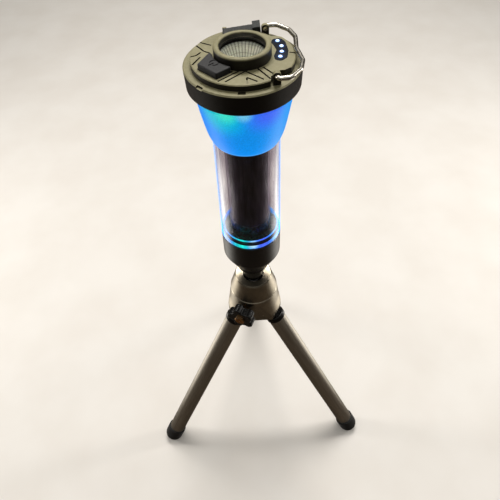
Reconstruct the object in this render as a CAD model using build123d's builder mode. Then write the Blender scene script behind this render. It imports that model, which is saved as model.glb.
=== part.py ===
"""Camping lantern with a torch in its head, on a three-legged tabletop tripod.

Millimetres, +Z up. The origin is the centre of the footprint, on the table. The lantern and the
hub share one upright axis, which stands forward of the origin because one foot points to the rear.
Heights named *_h are measured up from the lantern's lower face, *_z from the table.
"""
from build123d import *
import os
from math import atan2, cos, degrees, hypot, radians, sin

# ---- fits ----
running_gap = 0.05      # radial, shaft in hole that turns or slides
seat_gap = 0.10         # radial, parts that drop into a pocket
swing_gap = 0.15        # each side of a tongue in its slot

# ---- tripod: legs ----
leg_azimuths = {"left": -150, "right": -30, "rear": 90}
leg_angle = 28.6        # from upright, legs open
leg_length = 146.7      # pivot to centre of the foot's ball end
pivot_r = 9.5           # pivot from the upright axis
eye_r = 4.7             # leg's rounded top
tongue_w = 7.0
tongue_d = 8.0
pin_r = 1.5
pin_half = 9.0
sleeve_step = 0.5       # sleeve stands proud of the tube
sleeve_start = 9.0      # along the leg, from the pivot
sleeve_len = 3.8
plug_len = 10.0         # sleeve's plug inside the tube
tube_r = 5.7
tube_wall = 1.0
tube_end_gap = 4.7      # tube stops short of the foot's ball centre
foot_wall = 0.9
foot_len = 8.0          # foot's skirt, from its ball centre up the leg
foot_centre_z = 5.0

sleeve_r = tube_r + sleeve_step
foot_r = tube_r + foot_wall
tube_end = leg_length - tube_end_gap
foot_circle_r = pivot_r + leg_length * sin(radians(leg_angle))
pivot_z = foot_centre_z + leg_length * cos(radians(leg_angle))
axis_y = -foot_circle_r / 4     # puts the origin at the centre of the footprint

# ---- tripod: hub and ball head ----
hub_below_pivot = 6.3
hub_above_pivot = 15.9
hub_top_r = 14.1
hub_r = 16.8
hub_flat_r = 12.9       # middle of the flats between the legs, at the bottom
hub_flat_lean = 4.0     # degrees, the flats open out upwards
slot_inner_r = 4.4
collar_h = 12.3
collar_top_r = 10.9
spigot_wall = 2.5       # round the ball
spigot_len = 4.2
ball_r = 7.0
ball_gap = 0.15
ball_above_hub = 2.3
lip_above_ball = 3.6
stud_neck_r = 3.2
seat_len = 8.0
seat_inset = 0.5        # seat is narrower than the ball

spigot_r = ball_r + spigot_wall
seat_r = ball_r - seat_inset
lip_r = ((ball_r + ball_gap) ** 2 - lip_above_ball**2) ** 0.5 + running_gap
hub_bottom_z = pivot_z - hub_below_pivot
hub_top_z = pivot_z + hub_above_pivot
ball_z = hub_top_z + ball_above_hub
collar_top_z = hub_top_z + collar_h

# ---- tripod: clamp knob ----
knob_azimuth = -115
knob_above_pivot = 8.5
knob_lobes = 5
knob_core_r = 6.3
lobe_r = 2.8
lobe_centre_r = 5.7
knob_back_r = 16.5      # from the upright axis
knob_len = 5.8
knob_screw_r = 1.9
screw_head_r = 3.0
screw_head_len = 1.2
screw_tip_r = seat_r + seat_gap     # from the upright axis

# ---- tripod: screw plate ----
pad_stem_r = 5.6
pad_stem_len = 9.7
pad_gap = 1.0           # stem's lower face above the clamp collar
pad_flange_r = 9.0
pad_flange_len = 1.8
washer_len = 1.5
stud_tip_r = 2.4
stud_tip_len = 3.0
camera_screw_r = 3.1    # 1/4-20
camera_screw_len = 8.0  # above the washer
screw_head_hex = 4.6

lantern_z = collar_top_z + pad_gap + pad_stem_len + pad_flange_len + washer_len

# ---- lantern: base ----
cup_r = 15.35
cup_neck_r = 10.2
cup_neck_h = 0.8
cup_slope_h = 11.3
cup_h = 27.0
cup_spigot_len = 3.0
cup_cavity_r = 10.6
cup_floor_h = 12.0
insert_r = 5.0
insert_len = 9.5
magnet_len = 6.0
magnet_bore_r = 5.2
seal_wire_r = 0.4

# ---- lantern: tube, cone and cell ----
tube_foot_r = 15.25
tube_top_r = 14.5
tube_top_h = 87.8
clear_bore_r = 12.6
tube_socket_r = 13.2    # over the base cup's spigot
tube_spigot_r = 13.4    # into the cone
tube_spigot_len = 3.2
cone_curve = ((15.9, 91.0), (17.2, 96.3), (18.6, 104.0))    # radius and height up the bulge
cone_top_r = 19.6
cone_shoulder_h = 110.0
cone_wall = 2.7
head_seat_h = 113.4     # where cone, ring board and collar meet
disc_len = 1.2
cell_r = 9.1
cell_gap = 0.3          # round the cell, in its clear sleeve
cell_sleeve_wall = 0.8
sleeve_bore_r = cell_r + cell_gap
sleeve_outer_r = sleeve_bore_r + cell_sleeve_wall
cell_len = 64.3
cell_tip_r = 3.0
cell_tip_len = 0.7
spring_len = 5.8
spring_r = 5.5
spring_wire_r = 0.35
contact_len = 0.6

# ---- lantern: head ----
collar_low_r = 22.2
collar_low_h = 112.6
collar_rim_r = 22.5
collar_rim_h = 121.1
collar_chamfer = 0.45
collar_low_chamfer = 0.7
head_bore_r = 17.4
board_len = 1.0
board_gap = 0.6
led_count = 12
led_ring_r = 13.5
led_side = 2.8
led_height = 0.7
deck_r = 19.5
deck_h = 123.5
deck_spigot_len = 1.2
deck_spigot_wall = 1.4
groove_w = 0.7
groove_depth = 0.8
boss_r = 2.0
boss_ring_r = 13.6
boss_azimuths = (48, 172, -62)
board_screw_r = 0.9

# ---- lantern: torch ----
lens_r = 9.15
bezel_wall = 1.55       # outside the lens
bezel_lip = 0.58        # over the lens's edge
bezel_top_h = 127.9
lens_len = 1.0
lens_top_h = 125.2
lens_seal_wire_r = 0.34
reflector_rim = 1.0     # flat rim under the lens
reflector_throat_r = 2.7
reflector_wall = 0.7
led_board_r = 4.0
led_board_len = 0.6
bezel_r = lens_r + bezel_wall
bezel_bore_r = lens_r - bezel_lip
torch_bore_r = lens_r + running_gap
reflector_mouth_r = torch_bore_r - reflector_rim

# ---- lantern: power button ----
button_top_h = 125.6
button_travel = 0.6
button_well_depth = 1.2
button_gap = 0.2
button_stem_r = 2.6
button_centre = (-10.2, -7.6)
switch_side = 6.0
switch_height = 1.5
symbol_r = 1.9
symbol_line = 0.55
symbol_depth = 0.3

# ---- lantern: charge window ----
window_depth = 0.8
window_proud = 0.1
charge_led_r = 0.75
charge_led_places = ((13.5, 8.7), (14.7, 4.9), (14.5, 1.05), (13.7, -2.3))

# ---- lantern: hook ----
hook_azimuth = 3.5
hook_wire_r = 0.85
hook_axis_s = 10.4      # hinge line, outward from the upright axis
hook_h = 124.4
lug_t = 16.65           # lug's middle, sideways from the axis
lug_len = 1.5
lug_w = 2.9
hook_route = ((15.0, 18.5), (19.3, 13.9), (20.9, 8.3), (19.9, 0.0))
hook_bend_t = 18.6
hook_tip_t = 15.7

# ---- lantern: USB port and cover ----
port_centre = (0.3, 14.6)
port_w = 8.94
port_d = 3.26
port_wall = 0.3
port_corner = 1.2
cover_hinge_x = -6.4
cover_hinge_h = 124.4
cover_len = 13.9
cover_w = 5.2
cover_thick = 1.5
cover_angle = 6.0      # how far the cover stands open
cover_barrel_r = 0.8
cover_pin_r = 0.35
cover_ear_len = 0.8
cover_tab_len = 3.0
cover_tab_h = 1.2

# ---- shared planes ----
upright = Axis((0, axis_y, 0), (0, 0, 1))
hub_side = Plane(origin=(0, axis_y, 0), x_dir=(1, 0, 0), z_dir=(0, -1, 0))
lantern_side = Plane(origin=(0, axis_y, lantern_z), x_dir=(1, 0, 0), z_dir=(0, -1, 0))
hook_dir = (cos(radians(hook_azimuth)), sin(radians(hook_azimuth)), 0)


def lantern_level(height, x_dir=(1, 0, 0)):
    """Horizontal plane on the upright axis, at a height above the lantern's lower face."""
    return Plane(origin=(0, axis_y, lantern_z + height), x_dir=x_dir, z_dir=(0, 0, 1))


def outline(side, points):
    """Closed outline of (radius, height) points, ready to revolve about the upright axis."""
    with BuildSketch(side) as section:
        with BuildLine():
            Polyline(*points, close=True)
        make_face()
    return section.sketch


def on_circle(radius, azimuth):
    """The point at an azimuth on a circle about the plane's origin."""
    return (radius * cos(radians(azimuth)), radius * sin(radians(azimuth)))


# =====================================================================================
# Tripod
# =====================================================================================

knob_z = pivot_z + knob_above_pivot
knob_dir = (*on_circle(1, knob_azimuth), 0)
seat_bottom_z = ball_z - ball_r + 3.0 - seat_len
bore_floor_z = seat_bottom_z - 0.5

with BuildPart() as hub_body:
    revolve(outline(hub_side, (
        (0, hub_bottom_z),
        (hub_r - 0.6, hub_bottom_z),
        (hub_r, hub_bottom_z + 0.6),
        (hub_r, pivot_z),
        (hub_top_r + 1.2, hub_top_z - 9.5),
        (hub_top_r, hub_top_z - 0.5),
        (hub_top_r - 0.5, hub_top_z),
        (0, hub_top_z),
    )), axis=upright)
    # three leaning flats between the legs
    with BuildSketch(Plane(origin=(0, axis_y, hub_bottom_z))):
        RegularPolygon(radius=hub_flat_r, side_count=3, major_radius=False, rotation=-30)
    extrude(amount=hub_top_z - hub_bottom_z, taper=-hub_flat_lean, mode=Mode.INTERSECT)
    # spigot that the clamp collar screws over
    with BuildSketch(Plane(origin=(0, axis_y, hub_top_z))):
        Circle(spigot_r)
    extrude(amount=spigot_len)
    # bore for the ball and its seat
    with BuildSketch(Plane(origin=(0, axis_y, bore_floor_z))):
        Circle(ball_r + ball_gap)
    extrude(amount=hub_top_z + spigot_len - bore_floor_z, mode=Mode.SUBTRACT)
    # one pocket for each leg, open below and outwards
    slot_outer_r = pivot_r + eye_r + swing_gap
    slot_top_z = pivot_z + eye_r + swing_gap
    for azimuth in leg_azimuths.values():
        radial = (*on_circle(1, azimuth), 0)
        tangent = (*on_circle(1, azimuth + 90), 0)
        leg_side = Plane(origin=(0, axis_y, 0), x_dir=radial, z_dir=tuple(-c for c in tangent))
        with BuildSketch(leg_side):
            with BuildLine():
                Polyline(
                    (slot_inner_r, hub_bottom_z - 1),
                    (slot_inner_r, slot_top_z),
                    (slot_outer_r, slot_top_z),
                    (slot_outer_r, pivot_z),
                    (hub_r + 2, pivot_z - 3.2),
                    (hub_r + 2, hub_bottom_z - 1),
                    close=True,
                )
            make_face()
        extrude(amount=tongue_w / 2 + swing_gap, both=True, mode=Mode.SUBTRACT)
        # hole for the leg's pin
        pin_plane = Plane(
            origin=(pivot_r * radial[0], axis_y + pivot_r * radial[1], pivot_z),
            x_dir=radial,
            z_dir=tangent,
        )
        with BuildSketch(pin_plane):
            Circle(pin_r)
        extrude(amount=pin_half, both=True, mode=Mode.SUBTRACT)
    # hole for the clamp screw
    with BuildSketch(Plane(origin=(0, axis_y, knob_z), x_dir=(0, 0, 1), z_dir=knob_dir)):
        Circle(knob_screw_r + running_gap)
    extrude(amount=hub_r + 2, mode=Mode.SUBTRACT)
hub_body.part.label = "hub_body"

with BuildPart() as clamp_collar:
    revolve(outline(hub_side, (
        (spigot_r + running_gap, hub_top_z),
        (hub_top_r - 0.5, hub_top_z),
        (hub_top_r, hub_top_z + 0.5),
        (collar_top_r, collar_top_z - 0.8),
        (collar_top_r - 0.6, collar_top_z),
        (lip_r, collar_top_z - 0.4),
        (lip_r, ball_z + lip_above_ball),
        (ball_r + ball_gap, hub_top_z + spigot_len + 0.1),
        (spigot_r + running_gap, hub_top_z + spigot_len + 0.1),
    )), axis=upright)
clamp_collar.part.label = "clamp_collar"

with BuildPart() as ball_seat:
    revolve(outline(hub_side, (
        (0, seat_bottom_z),
        (3.0, seat_bottom_z),
        (seat_r, seat_bottom_z + 4.5),
        (seat_r, seat_bottom_z + seat_len),
        (0, seat_bottom_z + seat_len),
    )), axis=upright)
    with BuildSketch(hub_side):
        with BuildLine():
            CenterArc((0, ball_z), ball_r + ball_gap, -90, 180)
            Line((0, ball_z + ball_r + ball_gap), (0, ball_z - ball_r - ball_gap))
        make_face()
    revolve(axis=upright, mode=Mode.SUBTRACT)
ball_seat.part.label = "ball_seat"

stem_z = collar_top_z + pad_gap
flange_z = stem_z + pad_stem_len
washer_z = flange_z + pad_flange_len
neck_foot_z = ball_z + (ball_r**2 - stud_neck_r**2) ** 0.5

with BuildPart() as ball_stud:
    with BuildSketch(hub_side):
        with BuildLine():
            CenterArc((0, ball_z), ball_r, -90, 90 + degrees(atan2(neck_foot_z - ball_z, stud_neck_r)))
            Polyline(
                (stud_neck_r, neck_foot_z),
                (stud_neck_r, stem_z),
                (stud_tip_r, stem_z),
                (stud_tip_r, stem_z + stud_tip_len),
                (0, stem_z + stud_tip_len),
                (0, ball_z - ball_r),
            )
        make_face()
    revolve(axis=upright)
ball_stud.part.label = "ball_stud"

with BuildPart() as mounting_pad:
    revolve(outline(hub_side, (
        (stud_tip_r, stem_z),
        (pad_stem_r - 0.6, stem_z),
        (pad_stem_r, stem_z + 0.6),
        (pad_stem_r, flange_z - 1.0),
        (pad_flange_r - 0.4, flange_z),
        (pad_flange_r, flange_z + 0.4),
        (pad_flange_r, washer_z),
        (camera_screw_r, washer_z),
        (camera_screw_r, flange_z),
        (screw_head_hex, flange_z),
        (screw_head_hex, stem_z + stud_tip_len),
        (stud_tip_r, stem_z + stud_tip_len),
    )), axis=upright)
mounting_pad.part.label = "mounting_pad"

with BuildPart() as grip_washer:
    revolve(outline(hub_side, (
        (camera_screw_r, washer_z),
        (pad_flange_r, washer_z),
        (pad_flange_r, lantern_z),
        (camera_screw_r, lantern_z),
    )), axis=upright)
grip_washer.part.label = "grip_washer"

with BuildPart() as mounting_screw:
    with BuildSketch(Plane(origin=(0, axis_y, stem_z + stud_tip_len + 0.2))):
        RegularPolygon(radius=screw_head_hex - running_gap, side_count=6)
    extrude(amount=pad_stem_len - stud_tip_len - 0.2)
    with BuildSketch(Plane(origin=(0, axis_y, flange_z))):
        Circle(camera_screw_r)
    extrude(amount=pad_flange_len + washer_len + camera_screw_len)
    chamfer(mounting_screw.edges().group_by(Axis.Z)[-1], length=0.5)
mounting_screw.part.label = "mounting_screw"

knob_back = Plane(
    origin=(knob_back_r * knob_dir[0], axis_y + knob_back_r * knob_dir[1], knob_z),
    x_dir=(0, 0, 1),
    z_dir=knob_dir,
)
with BuildPart() as clamp_knob:
    with BuildSketch(knob_back) as knob_shape:
        Circle(knob_core_r)
        with PolarLocations(lobe_centre_r, knob_lobes, start_angle=20):
            Circle(lobe_r)
        fillet(knob_shape.vertices(), radius=0.9)
    extrude(amount=knob_len)
    fillet(clamp_knob.faces().filter_by(Axis((0, 0, 0), knob_dir)).edges(), radius=0.7)
    with BuildSketch(knob_back):
        Circle(knob_screw_r)
    extrude(amount=knob_len, mode=Mode.SUBTRACT)
clamp_knob.part.label = "clamp_knob"

knob_face_r = knob_back_r + knob_len
knob_side = Plane(origin=(0, axis_y, knob_z), x_dir=(0, 0, 1), z_dir=(-knob_dir[1], knob_dir[0], 0))
with BuildPart() as knob_screw:
    with BuildSketch(knob_side):
        with BuildLine():
            Polyline(
                (0, screw_tip_r),
                (0.8, screw_tip_r),
                (knob_screw_r, screw_tip_r + 1.2),
                (knob_screw_r, knob_face_r),
                (screw_head_r, knob_face_r),
                (screw_head_r, knob_face_r + screw_head_len - 0.3),
                (screw_head_r - 0.4, knob_face_r + screw_head_len),
                (0, knob_face_r + screw_head_len),
                close=True,
            )
        make_face()
    revolve(axis=Axis((0, axis_y, knob_z), knob_dir))
    # screwdriver slot
    with BuildSketch(Plane(
        origin=(
            (knob_face_r + screw_head_len) * knob_dir[0],
            axis_y + (knob_face_r + screw_head_len) * knob_dir[1],
            knob_z,
        ),
        x_dir=(0, 0, 1),
        z_dir=knob_dir,
    )):
        Rectangle(2 * screw_head_r, 0.7, rotation=35)
    extrude(amount=-0.5, mode=Mode.SUBTRACT)
knob_screw.part.label = "knob_screw"

legs = []
for name, azimuth in leg_azimuths.items():
    radial = on_circle(1, azimuth)
    tangent = (*on_circle(1, azimuth + 90), 0)
    pivot = (pivot_r * radial[0], axis_y + pivot_r * radial[1], pivot_z)
    lean = radians(leg_angle)
    leg_dir = (radial[0] * sin(lean), radial[1] * sin(lean), -cos(lean))
    along = Plane(origin=pivot, x_dir=tangent, z_dir=leg_dir)

    with BuildPart() as leg_sleeve:
        with BuildSketch(Plane(origin=pivot, x_dir=leg_dir, z_dir=tangent)):
            Circle(eye_r)
            with Locations((sleeve_start / 2, 0)):
                Rectangle(sleeve_start, tongue_d)
        extrude(amount=tongue_w / 2, both=True)
        with BuildSketch(along.offset(sleeve_start)):
            Circle(sleeve_r)
        extrude(amount=sleeve_len)
        with BuildSketch(along.offset(sleeve_start + sleeve_len)):
            Circle(tube_r - tube_wall)
        extrude(amount=plug_len)
        with BuildSketch(Plane(origin=pivot, x_dir=leg_dir, z_dir=tangent)):
            Circle(pin_r + running_gap)
        extrude(amount=tongue_w, both=True, mode=Mode.SUBTRACT)
        round_edges = leg_sleeve.edges().filter_by(GeomType.CIRCLE)
        fillet(round_edges.filter_by(lambda edge: abs(edge.radius - sleeve_r) < 0.01), radius=0.7)
    leg_sleeve.part.label = f"leg_sleeve_{name}"

    with BuildPart() as leg_tube:
        with BuildSketch(along.offset(sleeve_start + sleeve_len)):
            Circle(tube_r)
            Circle(tube_r - tube_wall, mode=Mode.SUBTRACT)
        extrude(amount=tube_end - sleeve_start - sleeve_len)
    leg_tube.part.label = f"leg_tube_{name}"

    leg_section = Plane(origin=pivot, x_dir=tangent, z_dir=tuple(Vector(*tangent).cross(Vector(*leg_dir))))
    with BuildPart() as leg_foot:
        with BuildSketch(leg_section):
            with BuildLine():
                Polyline(
                    (0, leg_length + foot_r),
                    (0, tube_end),
                    (tube_r, tube_end),
                    (tube_r, leg_length - foot_len),
                    (foot_r - 0.5, leg_length - foot_len),
                    (foot_r, leg_length - foot_len + 0.5),
                    (foot_r, leg_length),
                )
                CenterArc((0, leg_length), foot_r, 0, 90)
            make_face()
        revolve(axis=Axis(pivot, leg_dir))
        # worn flat where the foot stands
        with BuildSketch(Plane.XY):
            with Locations((foot_circle_r * radial[0], axis_y + foot_circle_r * radial[1])):
                Rectangle(4 * foot_r, 4 * foot_r)
        extrude(amount=-foot_r, mode=Mode.SUBTRACT)
    leg_foot.part.label = f"leg_foot_{name}"

    with BuildPart() as leg_pin:
        with BuildSketch(Plane(origin=pivot, x_dir=(*radial, 0), z_dir=tangent)):
            Circle(pin_r)
        extrude(amount=pin_half, both=True)
        chamfer(leg_pin.edges(), length=0.3)
    leg_pin.part.label = f"leg_pin_{name}"
    legs += [leg_sleeve, leg_tube, leg_foot, leg_pin]

# =====================================================================================
# Lantern body
# =====================================================================================

cup_top_h = cup_h + cup_spigot_len
cup_spigot_r = tube_socket_r - running_gap
seal_h = cup_h + cup_spigot_len / 2
seal_groove_r = cup_spigot_r - 2 * seal_wire_r

with BuildPart() as base_cup:
    revolve(outline(lantern_side, (
        (insert_r, 0),
        (cup_neck_r - 0.5, 0),
        (cup_neck_r, 0.5),
        (cup_neck_r, cup_neck_h),
        (cup_r - 0.3, cup_slope_h - 0.3),
        (cup_r, cup_slope_h + 0.4),
        (cup_r, cup_h),
        (cup_spigot_r, cup_h),
        (cup_spigot_r, seal_h - seal_wire_r),
        (seal_groove_r, seal_h - seal_wire_r),
        (seal_groove_r, seal_h + seal_wire_r),
        (cup_spigot_r, seal_h + seal_wire_r),
        (cup_spigot_r, cup_top_h),
        (cup_cavity_r, cup_top_h),
        (cup_cavity_r, cup_floor_h),
        (insert_r, cup_floor_h),
    )), axis=upright)
base_cup.part.label = "base_cup"

with BuildPart() as thread_insert:
    revolve(outline(lantern_side, (
        (camera_screw_r + running_gap, 0),
        (insert_r, 0),
        (insert_r, insert_len),
        (camera_screw_r + running_gap, insert_len),
    )), axis=upright)
thread_insert.part.label = "thread_insert"

with BuildPart() as base_magnet:
    revolve(outline(lantern_side, (
        (magnet_bore_r, cup_floor_h),
        (cup_cavity_r - seat_gap, cup_floor_h),
        (cup_cavity_r - seat_gap, cup_floor_h + magnet_len),
        (magnet_bore_r, cup_floor_h + magnet_len),
    )), axis=upright)
base_magnet.part.label = "base_magnet"

with BuildPart() as base_seal:
    with BuildSketch(lantern_side):
        with Locations((seal_groove_r + seal_wire_r, seal_h)):
            Circle(seal_wire_r)
    revolve(axis=upright)
base_seal.part.label = "base_seal"

disc_top_h = cup_top_h + disc_len
with BuildPart() as floor_disc:
    with BuildSketch(lantern_level(cup_top_h)):
        Circle(clear_bore_r - seat_gap)
    extrude(amount=disc_len)
floor_disc.part.label = "floor_disc"

cell_h = disc_top_h + spring_len
with BuildPart() as negative_spring:
    with BuildLine(lantern_level(disc_top_h + spring_wire_r)):
        coil = Helix(pitch=(spring_len - 2 * spring_wire_r) / 3, height=spring_len - 2 * spring_wire_r,
                     radius=spring_r)
    with BuildSketch(Plane(origin=coil @ 0, z_dir=coil % 0)):
        Circle(spring_wire_r)
    sweep(path=coil, is_frenet=True)
negative_spring.part.label = "negative_spring"

cell_top_h = cell_h + cell_len
with BuildPart() as battery_cell:
    revolve(outline(lantern_side, (
        (0, cell_h),
        (cell_r - 0.6, cell_h),
        (cell_r, cell_h + 0.6),
        (cell_r, cell_top_h - 0.6),
        (cell_r - 0.6, cell_top_h),
        (cell_tip_r, cell_top_h),
        (cell_tip_r, cell_top_h + cell_tip_len),
        (0, cell_top_h + cell_tip_len),
    )), axis=upright)
battery_cell.part.label = "battery_cell"

contact_h = cell_top_h + cell_tip_len
contact_top_h = contact_h + 2 * contact_len
with BuildPart() as positive_contact:
    revolve(outline(lantern_side, (
        (0, contact_h),
        (cell_tip_r - 0.5, contact_h),
        (cell_tip_r, contact_h + contact_len),
        (sleeve_bore_r - seat_gap, contact_h + contact_len),
        (sleeve_bore_r - seat_gap, contact_top_h),
        (0, contact_top_h),
    )), axis=upright)
positive_contact.part.label = "positive_contact"

with BuildPart() as cell_sleeve:
    revolve(outline(lantern_side, (
        (sleeve_bore_r, disc_top_h),
        (sleeve_outer_r, disc_top_h),
        (sleeve_outer_r, head_seat_h),
        (sleeve_bore_r, head_seat_h),
        (sleeve_bore_r, contact_top_h + 1.2),
        (sleeve_bore_r - 1.2, contact_top_h),
        (sleeve_bore_r, contact_top_h),
    )), axis=upright)
cell_sleeve.part.label = "cell_sleeve"

with BuildPart() as clear_tube:
    revolve(outline(lantern_side, (
        (tube_socket_r, cup_h),
        (tube_foot_r, cup_h),
        (tube_top_r, tube_top_h),
        (tube_spigot_r, tube_top_h),
        (tube_spigot_r, tube_top_h + tube_spigot_len),
        (clear_bore_r, tube_top_h + tube_spigot_len),
        (clear_bore_r, disc_top_h + seat_gap),
        (tube_socket_r, disc_top_h + seat_gap),
    )), axis=upright)
clear_tube.part.label = "clear_tube"

with BuildPart() as frosted_cone:
    cone_bore_r = cone_top_r - cone_wall
    cone_step = (tube_spigot_r + running_gap, tube_top_h + tube_spigot_len + 0.3)
    inner_curve = [(radius - cone_wall, height) for radius, height in reversed(cone_curve[1:])]
    with BuildSketch(lantern_side):
        with BuildLine():
            Spline((tube_top_r, tube_top_h), *cone_curve, (cone_top_r, cone_shoulder_h))
            Polyline(
                (cone_top_r, cone_shoulder_h),
                (cone_top_r, head_seat_h),
                (cone_bore_r, head_seat_h),
                (cone_bore_r, cone_shoulder_h),
            )
            Spline((cone_bore_r, cone_shoulder_h), *inner_curve, cone_step)
            Polyline(cone_step, (tube_spigot_r + running_gap, tube_top_h), (tube_top_r, tube_top_h))
        make_face()
    revolve(axis=upright)
frosted_cone.part.label = "frosted_cone"

# =====================================================================================
# Lantern head
# =====================================================================================

ring_top_h = head_seat_h + board_len
control_h = ring_top_h + board_gap
control_top_h = control_h + board_len

with BuildPart() as lantern_ring_board:
    with BuildSketch(lantern_level(head_seat_h)):
        Circle(head_bore_r - seat_gap)
    extrude(amount=board_len)
lantern_ring_board.part.label = "lantern_ring_board"

with BuildPart() as lantern_leds:
    with BuildSketch(lantern_level(head_seat_h - led_height)):
        with PolarLocations(led_ring_r, led_count):
            Rectangle(led_side, led_side)
    extrude(amount=led_height)
lantern_leds.part.label = "lantern_leds"

with BuildPart() as head_collar:
    revolve(outline(lantern_side, (
        (cone_top_r + running_gap, collar_low_h),
        (collar_low_r - collar_low_chamfer, collar_low_h),
        (collar_low_r, collar_low_h + collar_low_chamfer),
        (collar_rim_r, collar_rim_h - collar_chamfer),
        (collar_rim_r - collar_chamfer, collar_rim_h),
        (head_bore_r, collar_rim_h),
        (head_bore_r, head_seat_h),
        (cone_top_r + running_gap, head_seat_h),
    )), axis=upright)
    # lugs that carry the hook
    with BuildSketch(lantern_level(collar_rim_h - 0.5, hook_dir)):
        for side in (-1, 1):
            with Locations((hook_axis_s, side * lug_t)):
                Rectangle(lug_w, lug_len)
    extrude(amount=hook_h + hook_wire_r + 0.75 - collar_rim_h + 0.5)
    lug_tops = head_collar.faces().filter_by(Axis.Z).sort_by(Axis.Z)[-2:]
    hook_hinge_line = Axis((0, 0, 0), (-hook_dir[1], hook_dir[0], 0))
    fillet(lug_tops.edges().filter_by(hook_hinge_line), radius=1.3)
    with BuildSketch(Plane(
        origin=(hook_axis_s * hook_dir[0], axis_y + hook_axis_s * hook_dir[1], lantern_z + hook_h),
        x_dir=(0, 0, 1),
        z_dir=(-hook_dir[1], hook_dir[0], 0),
    )):
        Circle(hook_wire_r + running_gap)
    extrude(amount=lug_t + lug_len, both=True, mode=Mode.SUBTRACT)
    # index notches in the rim
    with BuildSketch(lantern_level(collar_rim_h)):
        for azimuth in (-136, 44):
            with Locations(on_circle(collar_rim_r, azimuth)):
                Rectangle(2.2, 3.0, rotation=azimuth)
        with Locations(on_circle(deck_r + 0.9, -93)):
            Rectangle(1.8, 2.8, rotation=-93)
    extrude(amount=-0.8, mode=Mode.SUBTRACT)
head_collar.part.label = "head_collar"

# ---- deck ----
button_outline = ((-11.9, 0.2), (-16.4, -7.7), (-9.6, -14.7))
button_inner_r = bezel_r + 0.45
button_inner_start = -110
button_inner_end = -172
window_outline = (
    (11.7, 10.3), (14.9, 10.5), (16.4, 7.9), (17.0, 1.4), (16.2, -3.0), (14.1, -5.2),
    (11.6, -4.3), (11.4, -1.6), (12.7, 2.5), (11.8, 5.8), (11.0, 7.9),
)
window_corner = 1.5
notch_outline = (
    (17.0, 10.1), (13.9, 11.9), (12.2, 11.9), (10.1, 14.0),
    (8.5, 15.2), (8.1, 18.0), (10.0, 24.0), (24.0, 12.0),
)
bolt_mark = ((12.3, 9.7), (11.75, 8.9), (12.05, 8.9), (11.8, 8.2), (12.5, 9.1), (12.15, 9.1))
groove_lines = (
    # chevrons in front of the torch
    ((-9.2, -16.1), (0.6, -8.6)), ((0.6, -10.6), (-6.6, -16.6)), ((0.6, -10.6), (6.9, -16.3)),
    ((1.0, -14.6), (4.6, -17.4)), ((1.0, -14.6), (1.0, -18.6)),
    # rays to the right
    ((4.9, -9.0), (9.2, -16.2)), ((7.0, -8.6), (11.2, -14.3)),
    # left shoulder
    ((-15.9, 10.7), (-11.6, 8.2)), ((-17.4, 8.7), (-14.3, 4.2)), ((-14.3, 4.2), (-11.9, 2.6)),
    ((-19.4, 0.8), (-17.2, 1.4)), ((-17.2, 1.4), (-15.4, 3.6)), ((-18.4, -4.8), (-15.6, 0.2)),
    # right edge
    ((17.2, 0.4), (19.6, -0.5)),
)


def button_profile(clearance):
    """Power button seen from above: three straight sides, and one curved round the bezel."""
    with BuildSketch() as shape:
        with BuildLine():
            inner = CenterArc(
                (0, 0), button_inner_r, button_inner_start, button_inner_end - button_inner_start
            )
            Polyline(inner @ 1, *button_outline, inner @ 0)
        make_face()
        if clearance:
            offset(amount=clearance)
    return shape.sketch


def window_profile(clearance):
    """Battery window seen from above, with rounded corners."""
    with BuildSketch() as shape:
        with BuildLine():
            Polyline(*window_outline, close=True)
        make_face()
        fillet(shape.vertices(), radius=window_corner)
        if clearance:
            offset(amount=clearance)
    return shape.sketch


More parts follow.
